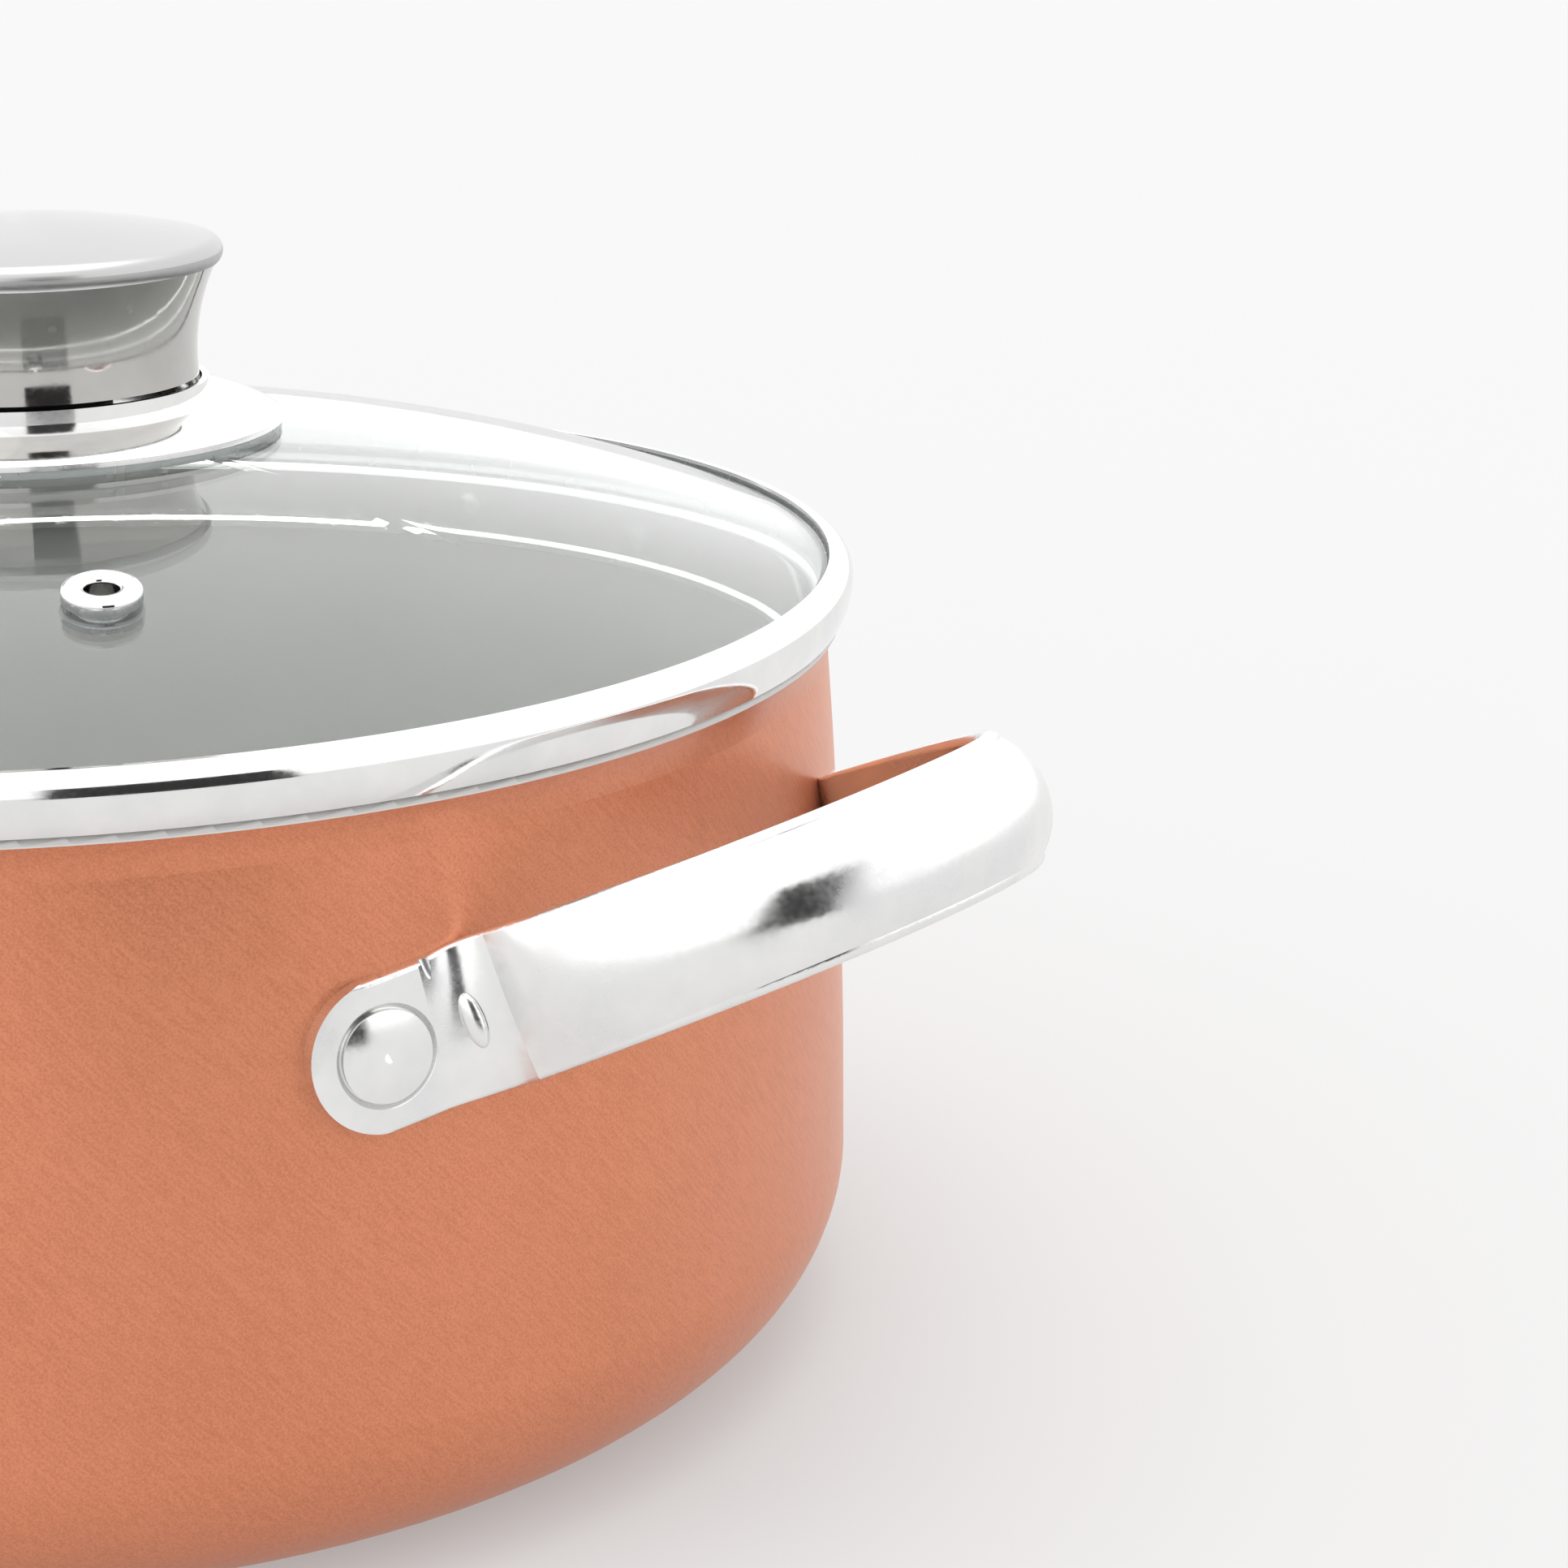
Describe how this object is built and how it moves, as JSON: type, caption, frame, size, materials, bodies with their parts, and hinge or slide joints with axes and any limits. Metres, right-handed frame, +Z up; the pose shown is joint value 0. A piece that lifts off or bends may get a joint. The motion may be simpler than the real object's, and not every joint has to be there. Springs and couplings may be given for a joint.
{
  "type": "casserole pot with glass lid",
  "caption": "Round two-handled cooking pot with a satin copper outside, grey non-stick inside, looped steel handles and a lift-off domed glass lid with a steel rim, vent and knob.",
  "frame": {"origin": "centre of the pot's underside, on the surface it stands on", "axes": "+Z up along the pot's axis; +X towards one handle, -X towards the other"},
  "size_m": [0.345, 0.252, 0.1724],
  "materials": {
    "copper_coat": "satin copper metallic coat on aluminium",
    "nonstick_lining": "matte grey speckled non-stick",
    "base_steel": "turned satin steel",
    "polished_steel": "mirror polished stainless steel",
    "band_steel": "polished rolled stainless steel",
    "satin_steel": "satin stainless steel",
    "rivet_steel": "satin stainless steel",
    "lid_glass": "clear tempered glass",
    "clear_silicone": "translucent silicone",
    "core_plastic": "black phenolic plastic",
    "insert_brass": "turned brass"
  },
  "bodies": {
    "pot": {"pot_shell": "copper_coat", "nonstick_lining": "nonstick_lining", "base_disc": "base_steel", "handle_right": "polished_steel", "handle_left": "polished_steel", "rivet_right_front": "rivet_steel", "rivet_right_rear": "rivet_steel", "rivet_left_front": "rivet_steel", "rivet_left_rear": "rivet_steel"},
    "lid": {"lid_band": "band_steel", "lid_glass": "lid_glass", "glass_seal": "clear_silicone", "vent_eyelet": "polished_steel", "vent_gasket_top": "clear_silicone", "vent_gasket_bottom": "clear_silicone", "vent_washer": "rivet_steel", "knob_skirt": "polished_steel", "skirt_edge_gasket": "clear_silicone", "knob_centre_gasket": "clear_silicone", "knob_body": "polished_steel", "knob_cap": "satin_steel", "knob_core": "core_plastic", "knob_insert": "insert_brass", "knob_screw": "rivet_steel", "screw_washer": "rivet_steel", "screw_gasket": "clear_silicone"}
  },
  "joints": [
    {"name": "lid_lift", "type": "slide", "parent": "pot", "child": "lid", "axis": [0, 0, 1], "range_m": [0, 0.2]}
  ]
}
